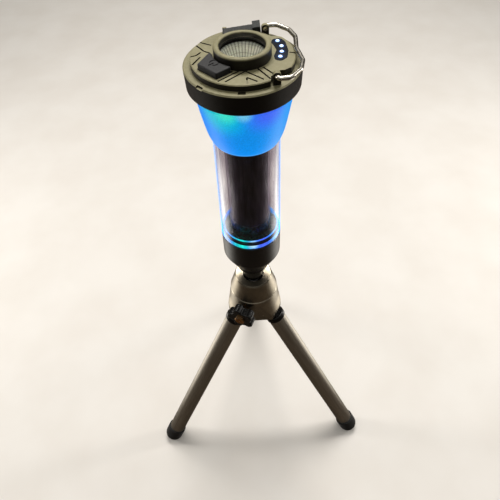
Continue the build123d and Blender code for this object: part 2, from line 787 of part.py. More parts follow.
with BuildPart() as head_deck:
    revolve(outline(lantern_side, (
        (torch_bore_r, collar_rim_h),
        (deck_r, collar_rim_h),
        (deck_r, deck_h - 0.3),
        (deck_r - 0.3, deck_h),
        (torch_bore_r, deck_h),
    )), axis=upright)
    # spigot that drops into the collar
    with BuildSketch(lantern_level(collar_rim_h)):
        Circle(head_bore_r - seat_gap)
        Circle(head_bore_r - seat_gap - deck_spigot_wall, mode=Mode.SUBTRACT)
    extrude(amount=-deck_spigot_len)
    # bosses for the board screws
    with BuildSketch(lantern_level(collar_rim_h)):
        for azimuth in boss_azimuths:
            with Locations(on_circle(boss_ring_r, azimuth)):
                Circle(boss_r)
    extrude(amount=control_top_h - collar_rim_h)
    with BuildSketch(lantern_level(control_top_h)):
        for azimuth in boss_azimuths:
            with Locations(on_circle(boss_ring_r, azimuth)):
                Circle(board_screw_r)
    extrude(amount=4.0, mode=Mode.SUBTRACT)
    # ears for the USB cover's hinge
    ear_offset = cover_w / 2 + seat_gap + cover_ear_len / 2
    with BuildSketch(lantern_level(deck_h)):
        for side in (-1, 1):
            with Locations((cover_hinge_x, port_centre[1] + side * ear_offset)):
                Rectangle(2 * cover_barrel_r, cover_ear_len)
    extrude(amount=cover_hinge_h + cover_barrel_r - deck_h)
    with BuildSketch(Plane(
        origin=(cover_hinge_x, axis_y + port_centre[1], lantern_z + cover_hinge_h),
        x_dir=(1, 0, 0),
        z_dir=(0, 1, 0),
    )):
        Circle(cover_pin_r + running_gap)
    extrude(amount=ear_offset + cover_ear_len, both=True, mode=Mode.SUBTRACT)
    # notches round the hook's lugs
    with BuildSketch(lantern_level(collar_rim_h - deck_spigot_len, hook_dir)):
        for side in (-1, 1):
            with BuildLine():
                Polyline(*((s, side * t) for s, t in notch_outline), close=True)
            make_face()
    extrude(amount=10, mode=Mode.SUBTRACT)
    # button well and stem hole
    with BuildSketch(lantern_level(deck_h)):
        add(button_profile(button_gap))
    extrude(amount=-button_well_depth, mode=Mode.SUBTRACT)
    with BuildSketch(lantern_level(deck_h)):
        with Locations(button_centre):
            Circle(button_stem_r + running_gap)
    extrude(amount=-10, mode=Mode.SUBTRACT)
    # window pocket and its light holes
    with BuildSketch(lantern_level(deck_h)):
        add(window_profile(running_gap))
    extrude(amount=-window_depth, mode=Mode.SUBTRACT)
    with BuildSketch(lantern_level(deck_h)):
        with Locations(*charge_led_places):
            Circle(charge_led_r)
    extrude(amount=-10, mode=Mode.SUBTRACT)
    # USB port hole
    with BuildSketch(lantern_level(deck_h)):
        with Locations(port_centre):
            RectangleRounded(port_w + 2 * seat_gap, port_d + 2 * seat_gap, port_corner)
    extrude(amount=-10, mode=Mode.SUBTRACT)
    # decorative grooves
    with BuildSketch(lantern_level(deck_h)):
        for start, end in groove_lines:
            middle = ((start[0] + end[0]) / 2, (start[1] + end[1]) / 2)
            length = hypot(end[0] - start[0], end[1] - start[1])
            heading = degrees(atan2(end[1] - start[1], end[0] - start[0]))
            with Locations(middle):
                Rectangle(length, groove_w, rotation=heading)
    extrude(amount=-groove_depth, mode=Mode.SUBTRACT)
head_deck.part.label = "head_deck"

with BuildPart() as board_screws:
    with BuildSketch(lantern_level(control_h - 0.5)):
        for azimuth in boss_azimuths:
            with Locations(on_circle(boss_ring_r, azimuth)):
                Circle(1.6)
    extrude(amount=0.5)
    with BuildSketch(lantern_level(control_h)):
        for azimuth in boss_azimuths:
            with Locations(on_circle(boss_ring_r, azimuth)):
                Circle(board_screw_r)
    extrude(amount=board_len + 3.0)
board_screws.part.label = "board_screws"

with BuildPart() as control_board:
    with BuildSketch(lantern_level(control_h)):
        Circle(head_bore_r - 2 * seat_gap)
        for azimuth in boss_azimuths:
            with Locations(on_circle(boss_ring_r, azimuth)):
                Circle(board_screw_r, mode=Mode.SUBTRACT)
    extrude(amount=board_len)
    with BuildSketch(lantern_level(control_top_h)):
        with Locations((-6, 8), (7, -7)):
            Rectangle(4.0, 3.0)
        with Locations((10.5, 1.5)):
            Rectangle(3.0, 5.0)
    extrude(amount=1.0)
control_board.part.label = "control_board"

# ---- torch ----
led_base_h = control_top_h + led_board_len
with BuildPart() as torch_led:
    with BuildSketch(lantern_level(control_top_h)):
        Circle(led_board_r)
    extrude(amount=led_board_len)
    with BuildSketch(lantern_level(led_base_h)):
        Rectangle(2.4, 2.4)
    extrude(amount=0.5)
    with BuildSketch(lantern_side):
        with BuildLine():
            CenterArc((0, led_base_h + 0.5), 1.0, 0, 90)
            Polyline((0, led_base_h + 1.5), (0, led_base_h + 0.5), (1.0, led_base_h + 0.5))
        make_face()
    revolve(axis=upright)
torch_led.part.label = "torch_led"

lens_bottom_h = lens_top_h - lens_len
with BuildPart() as torch_reflector:
    with BuildSketch(lantern_side):
        with BuildLine():
            Spline(
                (reflector_throat_r, led_base_h),
                (reflector_mouth_r * 0.72, (led_base_h + lens_bottom_h) / 2 - 0.6),
                (reflector_mouth_r, lens_bottom_h),
            )
            Polyline(
                (reflector_mouth_r, lens_bottom_h),
                (torch_bore_r - seat_gap, lens_bottom_h),
                (torch_bore_r - seat_gap, lens_bottom_h - 0.6),
                (reflector_mouth_r + 0.5, lens_bottom_h - 0.6),
            )
            Spline(
                (reflector_mouth_r + 0.5, lens_bottom_h - 0.6),
                (reflector_mouth_r * 0.72 + reflector_wall, (led_base_h + lens_bottom_h) / 2 - 0.9),
                (reflector_throat_r + reflector_wall, led_base_h),
            )
            Line((reflector_throat_r + reflector_wall, led_base_h), (reflector_throat_r, led_base_h))
        make_face()
    revolve(axis=upright)
torch_reflector.part.label = "torch_reflector"

with BuildPart() as torch_lens:
    with BuildSketch(lantern_level(lens_bottom_h)):
        Circle(lens_r)
    extrude(amount=lens_len)
torch_lens.part.label = "torch_lens"

ledge_h = lens_top_h + 2 * lens_seal_wire_r
with BuildPart() as lens_seal:
    with BuildSketch(lantern_side):
        with Locations((lens_r - 0.3, lens_top_h + lens_seal_wire_r)):
            Circle(lens_seal_wire_r)
    revolve(axis=upright)
lens_seal.part.label = "lens_seal"

with BuildPart() as bezel_ring:
    revolve(outline(lantern_side, (
        (lens_r + seat_gap, deck_h),
        (bezel_r, deck_h),
        (bezel_r, bezel_top_h),
        (bezel_bore_r, bezel_top_h),
        (bezel_bore_r, ledge_h),
        (lens_r + seat_gap, ledge_h),
    )), axis=upright)
    top_edges = bezel_ring.edges().group_by(Axis.Z)[-1].sort_by(SortBy.LENGTH)
    fillet(top_edges[-1], radius=0.9)
    inner_edge = bezel_ring.edges().group_by(Axis.Z)[-1].sort_by(SortBy.LENGTH)[0]
    fillet(inner_edge, radius=0.6)
bezel_ring.part.label = "bezel_ring"

# ---- power button and its switch ----
button_bottom_h = deck_h - button_well_depth + button_travel + 0.2
switch_top_h = control_top_h + switch_height
with BuildPart() as power_button:
    with BuildSketch(lantern_level(button_bottom_h)):
        add(button_profile(0))
    extrude(amount=button_top_h - button_bottom_h)
    fillet(power_button.edges().filter_by(Axis.Z), radius=0.7)
    fillet(power_button.edges().group_by(Axis.Z)[-1], radius=0.5)
    with BuildSketch(lantern_level(button_bottom_h)):
        with Locations(button_centre):
            Circle(button_stem_r)
    extrude(amount=switch_top_h + button_travel + 0.1 - button_bottom_h)
    # engraved ring and bar
    with BuildSketch(lantern_level(button_top_h)):
        with Locations(Location((*button_centre, 0), (0, 0, 125.5))):
            Circle(symbol_r)
            Circle(symbol_r - symbol_line, mode=Mode.SUBTRACT)
            with Locations((0, symbol_r)):
                Rectangle(1.5, 2.0, mode=Mode.SUBTRACT)
            with Locations((0, symbol_r * 0.72)):
                Rectangle(symbol_line, symbol_r * 1.3)
    extrude(amount=-symbol_depth, mode=Mode.SUBTRACT)
power_button.part.label = "power_button"

with BuildPart() as button_switch:
    with BuildSketch(lantern_level(control_top_h)):
        with Locations(button_centre):
            Rectangle(switch_side, switch_side)
    extrude(amount=switch_height - 0.4)
    with BuildSketch(lantern_level(switch_top_h - 0.4)):
        with Locations(button_centre):
            Circle(1.7)
    extrude(amount=0.4)
button_switch.part.label = "button_switch"

# ---- charge window ----
window_h = deck_h - window_depth
with BuildPart() as battery_window:
    with BuildSketch(lantern_level(window_h)):
        add(window_profile(0))
        with Locations(*charge_led_places):
            Circle(charge_led_r, mode=Mode.SUBTRACT)
    extrude(amount=window_depth + window_proud)
    # small bolt-shaped mark
    with BuildSketch(lantern_level(deck_h + window_proud)):
        with BuildLine():
            Polyline(*bolt_mark, close=True)
        make_face()
    extrude(amount=-0.15, mode=Mode.SUBTRACT)
battery_window.part.label = "battery_window"

with BuildPart() as charge_leds:
    with BuildSketch(lantern_level(window_h - 0.6)):
        with Locations(*charge_led_places):
            Circle(charge_led_r)
    extrude(amount=deck_h + window_proud + 0.25 - window_h + 0.6)
    fillet(charge_leds.edges().group_by(Axis.Z)[-1], radius=0.35)
charge_leds.part.label = "charge_leds"

# ---- USB port and cover ----
with BuildPart() as usb_port:
    with BuildSketch(lantern_level(control_top_h)):
        with Locations(port_centre):
            RectangleRounded(port_w, port_d, port_corner)
    extrude(amount=deck_h - 0.2 - control_top_h)
    with BuildSketch(lantern_level(deck_h - 0.2)):
        with Locations(port_centre):
            RectangleRounded(port_w - 2 * port_wall, port_d - 2 * port_wall, port_corner - port_wall)
            Rectangle(6.7, 0.7, mode=Mode.SUBTRACT)
    extrude(amount=-5.6, mode=Mode.SUBTRACT)
usb_port.part.label = "usb_port"

tilt = radians(cover_angle)
cover_plane = Plane(
    origin=(cover_hinge_x, axis_y + port_centre[1], lantern_z + cover_hinge_h),
    x_dir=(cos(tilt), 0, sin(tilt)),
    z_dir=(-sin(tilt), 0, cos(tilt)),
)
with BuildPart() as usb_cover:
    with BuildSketch(cover_plane.offset(-cover_barrel_r)):
        with Locations((cover_len / 2, 0)):
            Rectangle(cover_len, cover_w)
    extrude(amount=cover_thick)
    # grip ribs across the flap
    with BuildSketch(cover_plane.offset(cover_thick - cover_barrel_r)):
        with GridLocations(2.0, 1, 4, 1):
            with Locations((cover_len / 2 - 0.6, 0)):
                Rectangle(0.8, cover_w - 1.2)
    extrude(amount=0.35)
    # pull tab
    with BuildSketch(cover_plane.offset(cover_thick - cover_barrel_r)):
        with Locations((cover_len - cover_tab_len / 2, 0)):
            Rectangle(cover_tab_len, cover_w)
    extrude(amount=cover_tab_h)
    with BuildSketch(Plane(origin=cover_plane.origin, x_dir=cover_plane.x_dir, z_dir=(0, 1, 0))):
        Circle(cover_barrel_r)
    extrude(amount=cover_w / 2, both=True)
    with BuildSketch(Plane(origin=cover_plane.origin, x_dir=cover_plane.x_dir, z_dir=(0, 1, 0))):
        Circle(cover_pin_r)
    extrude(amount=ear_offset + cover_ear_len / 2, both=True)
usb_cover.part.label = "usb_cover"

# ---- hanging hook ----
front_half = [(hook_axis_s, -hook_tip_t), (hook_axis_s, -hook_bend_t)] + [(s, -t) for s, t in hook_route]
rear_half = [(s, -t) for s, t in reversed(front_half[:-1])]
bend_radii = [1.3, 2.4, 3.0, 3.5, 5.0, 3.5, 3.0, 2.4, 1.3]
with BuildPart() as hanging_hook:
    with BuildLine(lantern_level(hook_h, hook_dir)):
        wire = FilletPolyline(*front_half, *rear_half, radius=bend_radii)
    with BuildSketch(Plane(origin=wire @ 0, z_dir=wire % 0)):
        Circle(hook_wire_r)
    sweep(path=wire)
hanging_hook.part.label = "hanging_hook"

# ---- write every piece ----
tripod_pieces = [
    hub_body, clamp_collar, ball_seat, ball_stud, mounting_pad, grip_washer, mounting_screw,
    clamp_knob, knob_screw, *legs,
]
lantern_pieces = [
    base_cup, thread_insert, base_magnet, base_seal, floor_disc, negative_spring, battery_cell,
    positive_contact, cell_sleeve, clear_tube, frosted_cone, lantern_ring_board, lantern_leds,
    head_collar, head_deck, board_screws, control_board, torch_led, torch_reflector, torch_lens,
    lens_seal, bezel_ring, power_button, button_switch, battery_window, charge_leds, usb_port,
    usb_cover, hanging_hook,
]
os.makedirs("parts", exist_ok=True)
for piece in tripod_pieces + lantern_pieces:
    export_step(piece.part, f"parts/{piece.part.label}.step")
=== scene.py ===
from math import cos, radians, sin, tau

import bmesh
import bpy
from mathutils import Matrix, Vector


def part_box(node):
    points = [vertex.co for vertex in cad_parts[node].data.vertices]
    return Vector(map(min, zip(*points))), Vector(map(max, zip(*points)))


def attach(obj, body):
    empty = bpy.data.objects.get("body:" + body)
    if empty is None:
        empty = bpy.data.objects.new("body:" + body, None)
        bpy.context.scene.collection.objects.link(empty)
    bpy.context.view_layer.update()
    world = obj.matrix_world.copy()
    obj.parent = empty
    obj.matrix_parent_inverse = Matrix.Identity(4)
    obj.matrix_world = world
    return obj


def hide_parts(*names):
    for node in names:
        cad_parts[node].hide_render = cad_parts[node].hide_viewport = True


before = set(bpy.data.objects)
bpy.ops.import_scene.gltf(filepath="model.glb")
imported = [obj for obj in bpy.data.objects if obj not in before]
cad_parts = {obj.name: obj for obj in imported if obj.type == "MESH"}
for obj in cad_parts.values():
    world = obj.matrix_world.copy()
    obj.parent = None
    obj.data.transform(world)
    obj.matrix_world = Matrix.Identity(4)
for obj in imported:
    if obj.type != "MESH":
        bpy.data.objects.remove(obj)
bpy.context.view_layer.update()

MM = 0.001
FLUTES = 36                     # round the torch reflector
STEPS_PER_FLUTE = 8
GLOW_STEPS, GLOW_SIDES = 128, 12

# refractive indices
ABS_IOR = 1.53
NYLON_IOR = 1.53
SILICONE_IOR = 1.41
ACRYLIC_IOR = 1.49
POLYCARBONATE_IOR = 1.58
PVC_IOR = 1.54
SOLDER_MASK_IOR = 1.5
LED_RESIN_IOR = 1.5
LAMINATE_IOR = 1.45

# noise keeps near its middle, so this part of it is what changes a colour or a roughness
TONE_LOW, TONE_HIGH = 0.35, 0.65
GLOSS_LOW, GLOSS_HIGH = 0.3, 0.7
# cosine between the rounded and the flat normal, on a broad face and on a worn corner
EDGE_FLAT, EDGE_TURNED = 0.995, 0.86


# ---------------------------------------------------------------------------
# Places read from the frame
# ---------------------------------------------------------------------------

def middle_of(node):
    """Centre of a CAD node's box."""
    low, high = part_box(node)
    return (low + high) / 2


upright_x, upright_y = middle_of("clear_tube").xy     # the lantern's and hub's shared axis
cone_low, cone_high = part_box("frosted_cone")
cone_r = cone_high.x - upright_x
cup_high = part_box("base_cup")[1]
charge_led_middles = [
    Vector((upright_x + x * MM, upright_y + y * MM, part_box("battery_window")[1].z))
    for x, y in ((13.5, 8.7), (14.7, 4.9), (14.5, 1.05), (13.7, -2.3))
]


def round_axis(radius, azimuth, height):
    """The point at a radius (m) and azimuth (degrees) about the upright axis."""
    turn = radians(azimuth)
    return Vector((upright_x + radius * cos(turn), upright_y + radius * sin(turn), height))


# ---------------------------------------------------------------------------
# Node trees
# ---------------------------------------------------------------------------

def linear(hex_colour):
    """Linear RGBA of an sRGB hex colour."""
    values = [int(hex_colour[i:i + 2], 16) / 255 for i in (1, 3, 5)]
    return (*(v / 12.92 if v <= 0.04045 else ((v + 0.055) / 1.055) ** 2.4 for v in values), 1.0)


def put(tree, kind, inputs=None, **settings):
    """Adds one node. inputs maps a socket's name or number to a value, a hex colour or another
    node's output."""
    node = tree.nodes.new(kind)
    for name, value in settings.items():
        setattr(node, name, value)
    for name, value in (inputs or {}).items():
        if isinstance(value, bpy.types.NodeSocket):
            tree.links.new(value, node.inputs[name])
        else:
            node.inputs[name].default_value = linear(value) if isinstance(value, str) else value
    return node


def new_finish(name):
    """An empty material, its node tree, and coordinates that stay with the piece, in metres."""
    finish = bpy.data.materials.new(name)
    finish.use_nodes = True
    tree = finish.node_tree
    tree.nodes.clear()
    return finish, tree, put(tree, "ShaderNodeTexCoord").outputs["Object"]


def surfaced(finish, colour, sockets, gloss=None, relief=None):
    """The material with a surface on it. gloss is a pattern with its smoothest and roughest value;
    relief is a pattern with its depth in mm and its strength."""
    tree = finish.node_tree
    shader = put(tree, "ShaderNodeBsdfPrincipled", {"Base Color": colour, **sockets})
    if gloss:
        pattern, smooth, rough = gloss
        roughness = put(tree, "ShaderNodeMapRange", {
            "Value": pattern, "From Min": GLOSS_LOW, "From Max": GLOSS_HIGH,
            "To Min": smooth, "To Max": rough,
        })
        tree.links.new(roughness.outputs["Result"], shader.inputs["Roughness"])
    if relief:
        pattern, depth_mm, strength = relief
        bump = put(tree, "ShaderNodeBump", {
            "Height": pattern, "Distance": depth_mm * MM, "Strength": strength,
        })
        tree.links.new(bump.outputs["Normal"], shader.inputs["Normal"])
    put(tree, "ShaderNodeOutputMaterial", {"Surface": shader.outputs[0]})
    return finish


def grain(tree, place, size_mm, detail=2.0, stretch=(1.0, 1.0, 1.0), roughness=0.5):
    """Noise whose features are about size_mm across; stretch lengthens them along an axis."""
    scale = [1 / (MM * size_mm * s) for s in stretch]
    vector = put(tree, "ShaderNodeVectorMath", {0: place, 1: scale}, operation="MULTIPLY")
    return put(tree, "ShaderNodeTexNoise", {
        "Vector": vector.outputs[0], "Scale": 1.0, "Detail": detail, "Roughness": roughness,
    }).outputs["Fac"]


def toned(tree, pattern, under, over, low=TONE_LOW, high=TONE_HIGH, most=1.0):
    """Colour that goes from under to over, by a share of most, as the pattern goes from low to
    high."""
    share = put(tree, "ShaderNodeMapRange", {
        "Value": pattern, "From Min": low, "From Max": high, "To Max": most,
    }).outputs["Result"]
    return put(tree, "ShaderNodeMix", {"Factor": share, 6: under, 7: over},
               data_type="RGBA").outputs[2]


def edge_wear_and_highlight(tree, colour, bright, radius_mm, most=1.0):
    """Colour with the bright one laid over it on rounded corners and rims: painted highlight, partly
    edge wear.
    """
    bevel = put(tree, "ShaderNodeBevel", {"Radius": radius_mm * MM}, samples=6)
    flat = put(tree, "ShaderNodeNewGeometry").outputs["Normal"]
    along = put(tree, "ShaderNodeVectorMath", {0: bevel.outputs[0], 1: flat},
                operation="DOT_PRODUCT").outputs["Value"]
    return toned(tree, along, colour, bright, EDGE_FLAT, EDGE_TURNED, most)


def patch(tree, place, centre, reach):
    """1 at a place on the piece, falling smoothly to 0 at reach from it."""
    apart = put(tree, "ShaderNodeVectorMath", {0: place, 1: centre}, operation="DISTANCE")
    return put(tree, "ShaderNodeMapRange", {
        "Value": apart.outputs["Value"], "From Min": 0.0, "From Max": reach,
        "To Min": 1.0, "To Max": 0.0,
    }, interpolation_type="SMOOTHERSTEP").outputs["Result"]


def strongest_patch(tree, place, centres, reach):
    """The strongest of the patches at some centres, or 0 where there are none."""
    best = 0.0
    for centre in centres:
        best = put(tree, "ShaderNodeMath", {0: best, 1: patch(tree, place, centre, reach)},
                   operation="MAXIMUM").outputs[0]
    return best


def patched(tree, place, colour, patches):
    """Colour with soft round patches over it; each has a centre, a reach in mm and a hex colour."""
    for centre, reach_mm, tone in patches:
        colour = put(tree, "ShaderNodeMix", {
            "Factor": patch(tree, place, centre, reach_mm * MM), 6: colour, 7: tone,
        }, data_type="RGBA").outputs[2]
    return colour


# ---------------------------------------------------------------------------
# Finishes
# ---------------------------------------------------------------------------

def olive_abs():
    """ABS, moulded with a fine spark texture: satin, dustier on top, and slightly lighter on top as
    painted light, with sides and undersides painted near black as painted shade.
    """
    finish, tree, place = new_finish("olive ABS, spark-textured")
    cloud = grain(tree, place, 9.0, detail=3.0)
    dust = grain(tree, place, 1.6, detail=4.0)
    spark = grain(tree, place, 0.35)                    # real texture is near 0.1 mm; drawn coarser
    top = toned(tree, cloud, "#7d795a", "#8b8666")
    top = toned(tree, dust, top, "#9b957a", 0.45, 0.75, 0.45)
    # painted shade: sides and undersides get a near-black copy of the olive, blended with the lighter
    # tops by how far each face turns up
    side = toned(tree, cloud, "#110d07", "#18130c")
    normal = put(tree, "ShaderNodeTexCoord").outputs["Normal"]
    painted_shade_by_facing = put(tree, "ShaderNodeSeparateXYZ", {0: normal}).outputs["Z"]
    colour = toned(tree, painted_shade_by_facing, side, top, 0.1, 0.75)
    # painted highlight on the rims, partly wear
    colour = edge_wear_and_highlight(tree, colour, "#b7af92", 0.35, 0.35)
    return surfaced(finish, colour, {"IOR": ABS_IOR, "Specular IOR Level": 0.3},
                    gloss=(spark, 0.42, 0.58), relief=(spark, 0.06, 0.6))


def black_nylon():
    """Glass-filled nylon, moulded satin black: faint mottling, and softened bright corners that are
    painted highlight, partly wear.
    """
    finish, tree, place = new_finish("black nylon, satin moulded")
    mottle = grain(tree, place, 2.2, detail=4.0)
    skin = grain(tree, place, 0.3)                      # mould texture near 0.08 mm, drawn coarser
    colour = toned(tree, mottle, "#060606", "#0f0e0e", high=0.7)
    colour = edge_wear_and_highlight(tree, colour, "#3a3936", 0.3, 0.2)
    return surfaced(finish, colour, {"IOR": NYLON_IOR, "Specular IOR Level": 0.32},
                    gloss=(mottle, 0.2, 0.32), relief=(skin, 0.03, 0.5))


def dark_cup_abs():
    """ABS, black with a brown cast and a fine turned-tool texture round the cup; its rounded edges
    carry a painted brown highlight, partly wear.
    """
    finish, tree, place = new_finish("brown-black ABS, fine turned texture")
    cloud = grain(tree, place, 6.0, detail=3.0)
    rings = grain(tree, place, 0.5, stretch=(60.0, 60.0, 1.0))
    colour = toned(tree, cloud, "#0d0a08", "#17110d")
    colour = edge_wear_and_highlight(tree, colour, "#4a3f35", 0.4, 0.4)
    return surfaced(finish, colour, {"IOR": ABS_IOR},
                    gloss=(rings, 0.34, 0.5), relief=(rings, 0.02, 0.5))


def matt_moulded(name, dark, light, bump_mm, depth_mm):
    """Silicone rubber, and the ball seat's unfilled nylon, moulded matt: soft sheen, fine eggshell
    bumps and a little lint."""
    finish, tree, place = new_finish(name)
    eggshell = grain(tree, place, bump_mm, detail=3.0)
    lint = grain(tree, place, 0.8, detail=5.0, roughness=0.7)
    colour = toned(tree, eggshell, dark, light)
    colour = toned(tree, lint, colour, "#5c5c58", 0.66, 0.78, 0.35)
    return surfaced(finish, colour, {
        "IOR": SILICONE_IOR, "Sheen Weight": 0.15, "Sheen Roughness": 0.4,
    }, gloss=(eggshell, 0.5, 0.68), relief=(eggshell, depth_mm, 0.8))


def champagne_aluminium():
    """Die-cast aluminium, bead-blasted and anodised champagne: silky, with bright edges that are
    painted highlight, partly wear.
    """
    finish, tree, place = new_finish("champagne anodised aluminium, bead-blasted")
    cloud = grain(tree, place, 7.0, detail=3.0)
    bead = grain(tree, place, 0.3)                      # bead marks near 0.1 mm, drawn coarser
    rub = grain(tree, place, 2.5, detail=4.0, roughness=0.65)
    colour = toned(tree, cloud, "#8f8778", "#a49a87")
    colour = toned(tree, rub, colour, "#b9b09b", 0.58, 0.72, 0.3)
    colour = edge_wear_and_highlight(tree, colour, "#f1ead6", 0.55)
    return surfaced(finish, colour, {"Metallic": 1.0},
                    gloss=(bead, 0.27, 0.38), relief=(bead, 0.02, 0.35))


def drawn_tube(name, along):
    """Drawn aluminium tube, anodised grey-champagne: fine lines along the draw, faint rubbing."""
    finish, tree, place = new_finish(f"grey-champagne anodised tube, drawn, {name} leg")
    run = Vector(along).normalized()
    side = run.cross(Vector((0, 0, 1))).normalized()
    parts = [
        put(tree, "ShaderNodeVectorMath", {0: place, 1: way}, operation="DOT_PRODUCT").outputs["Value"]
        for way in (side, side.cross(run), run)
    ]
    turned = put(tree, "ShaderNodeCombineXYZ", dict(enumerate(parts))).outputs[0]
    lines = grain(tree, turned, 0.35, detail=3.0, stretch=(1.0, 1.0, 90.0))
    rub = grain(tree, turned, 3.0, detail=4.0, stretch=(1.0, 1.0, 4.0), roughness=0.65)
    colour = toned(tree, lines, "#a7a196", "#c1bbaf", 0.3, 0.7)
    colour = toned(tree, rub, colour, "#cdc8bb", 0.55, 0.72, 0.4)
    # painted highlight along the rims, partly wear
    colour = edge_wear_and_highlight(tree, colour, "#d8d1c1", 0.3)
    return surfaced(finish, colour, {"Metallic": 1.0},
                    gloss=(lines, 0.34, 0.48), relief=(lines, 0.015, 0.4))


def plated_metal(name, dark, light, rough_low, rough_high, ring_mm=0.4):
    """Turned and plated metal: fine tool marks, slightly uneven tone, and bright edges that are
    painted highlight, partly wear.
    """
    finish, tree, place = new_finish(name)
    marks = grain(tree, place, ring_mm, detail=3.0)
    tarnish = grain(tree, place, 1.8, detail=4.0)
    colour = toned(tree, tarnish, dark, light, high=0.68)
    colour = edge_wear_and_highlight(tree, colour, "#efe6d2", 0.45)
    return surfaced(finish, colour, {"Metallic": 1.0},
                    gloss=(marks, rough_low, rough_high), relief=(marks, 0.01, 0.4))


def clear_acrylic(name, tint, outer_r_mm, mirror_rough, streak_mm, glow="#000000", strength=0.0):
    """Polished clear plastic or glass with a thin wall: faint tint, and Fresnel gloss on its outer
    face, which also carries the lantern's light along the wall to the edges seen lengthways. Every
    face counts as outer where outer_r_mm is 0."""
    finish, tree, place = new_finish(name)
    smear = grain(tree, place, streak_mm, detail=3.0, stretch=(1.0, 1.0, 8.0))
    veil = toned(tree, smear, tint, "#ffffff", 0.4, 0.7)
    through = put(tree, "ShaderNodeBsdfTransparent", {"Color": veil})
    fresnel = put(tree, "ShaderNodeFresnel", {"IOR": ACRYLIC_IOR}).outputs[0]

    height = put(tree, "ShaderNodeSeparateXYZ", {0: place}).outputs["Z"]
    near_foot = put(tree, "ShaderNodeMapRange", {
        "Value": height, "From Min": cup_high.z, "From Max": cup_high.z + 16 * MM,
        "To Min": strength * 2.2, "To Max": strength,
    })
    grazing = put(tree, "ShaderNodeMapRange", {"Value": fresnel, "From Min": 0.08, "From Max": 0.5})
    lengthways = put(tree, "ShaderNodeMath", {
        0: grazing.outputs["Result"], 1: near_foot.outputs["Result"],
    }, operation="MULTIPLY")
    roughness = put(tree, "ShaderNodeMapRange", {
        "Value": smear, "From Min": 0.4, "From Max": 0.7,
        "To Min": mirror_rough, "To Max": mirror_rough + 0.1,
    })
    gloss = put(tree, "ShaderNodeBsdfPrincipled", {
        "Base Color": "#ffffff", "Metallic": 1.0, "Roughness": roughness.outputs["Result"],
        "Emission Color": glow, "Emission Strength": lengthways.outputs[0],
    })

    off_axis = put(tree, "ShaderNodeVectorMath", {0: place, 1: (-upright_x, -upright_y, 0.0)},
                   operation="ADD")
    level = put(tree, "ShaderNodeVectorMath", {0: off_axis.outputs[0], 1: (1.0, 1.0, 0.0)},
                operation="MULTIPLY")
    radius = put(tree, "ShaderNodeVectorMath", {0: level.outputs[0]}, operation="LENGTH")
    outside = put(tree, "ShaderNodeMapRange", {
        "Value": radius.outputs["Value"],
        "From Min": (outer_r_mm - 0.8) * MM, "From Max": (outer_r_mm - 0.4) * MM,
    })
    inward = put(tree, "ShaderNodeNewGeometry").outputs["Backfacing"]
    front = put(tree, "ShaderNodeMath", {0: outside.outputs["Result"], 1: inward},
                operation="SUBTRACT", use_clamp=True)
    mirrored = put(tree, "ShaderNodeMath", {0: fresnel, 1: front.outputs[0]}, operation="MULTIPLY")
    surface = put(tree, "ShaderNodeMixShader", {
        0: mirrored.outputs[0], 1: through.outputs[0], 2: gloss.outputs[0],
    })
    put(tree, "ShaderNodeOutputMaterial", {"Surface": surface.outputs[0]})
    return finish


def lit_frosted_polycarbonate():
    """Polycarbonate, sand-blasted inside and lit blue from above: even glow with fine sparkle, and
    the coloured patches thrown by the ring of LEDs."""
    finish, tree, place = new_finish("frosted polycarbonate, lit blue")
    parts = put(tree, "ShaderNodeSeparateXYZ", {0: place}).outputs
    colour = toned(tree, parts["X"], "#0389f8", "#0496f2",
                   upright_x - 16 * MM, upright_x + 16 * MM)
    colour = patched(tree, place, colour, (
        (round_axis(0.9 * cone_r, -90, cone_low.z + 12 * MM), 15, "#0a8ae4"),
        (round_axis(cone_r, -120, cone_high.z - 3 * MM), 15, "#04c3cf"),
        (round_axis(cone_r, -112, cone_high.z - 2 * MM), 7, "#3fe0c8"),
        (round_axis(cone_r, -66, cone_high.z - 3 * MM), 13, "#3c66f4"),
        (round_axis(cone_r, -92, cone_high.z - 2 * MM), 5, "#6fc3e6"),
    ))
    lip_top = cone_low.z + 0.05 * (cone_high.z - cone_low.z)
    colour = toned(tree, parts["Z"], colour, "#7fd0ff", lip_top, cone_low.z, 0.3)
    sparkle = grain(tree, place, 0.45)
    bright = put(tree, "ShaderNodeMapRange", {
        "Value": sparkle, "From Min": 0.3, "From Max": 0.75, "To Min": 0.86, "To Max": 1.16,
    })
    return surfaced(finish, toned(tree, sparkle, "#06223c", "#0b3050"), {
        "Roughness": 0.5, "IOR": POLYCARBONATE_IOR, "Specular IOR Level": 0.3,
        "Emission Color": colour, "Emission Strength": bright.outputs["Result"],
    }, relief=(sparkle, 0.04, 0.5))


def rim_glow():
    """Polished lower edge of the clear tube, where the light it carries leaves it: blue at the sides,
    green then white then violet at the front."""
    finish, tree, place = new_finish("clear acrylic, glowing edge")
    colour = patched(tree, place, "#008ff5", [
        (round_axis(14 * MM, azimuth, cup_high.z), reach_mm, tone)
        for azimuth, reach_mm, tone in (
            (180, 16, "#2a7cff"), (0, 16, "#18b6ff"), (-112, 8, "#17e4c6"), (-66, 8, "#4a5cf0"),
            (-88, 4, "#c4f4f4"),
        )
    ])
    ripple = grain(tree, place, 1.2)
    bright = put(tree, "ShaderNodeMapRange", {
        "Value": ripple, "From Min": 0.3, "From Max": 0.7, "To Min": 1.1, "To Max": 1.5,
    })
    return surfaced(finish, toned(tree, ripple, "#0a4f90", "#1468b0", 0.0, 1.0), {
        "Roughness": 0.15, "IOR": ACRYLIC_IOR,
        "Emission Color": colour, "Emission Strength": bright.outputs["Result"],
    })


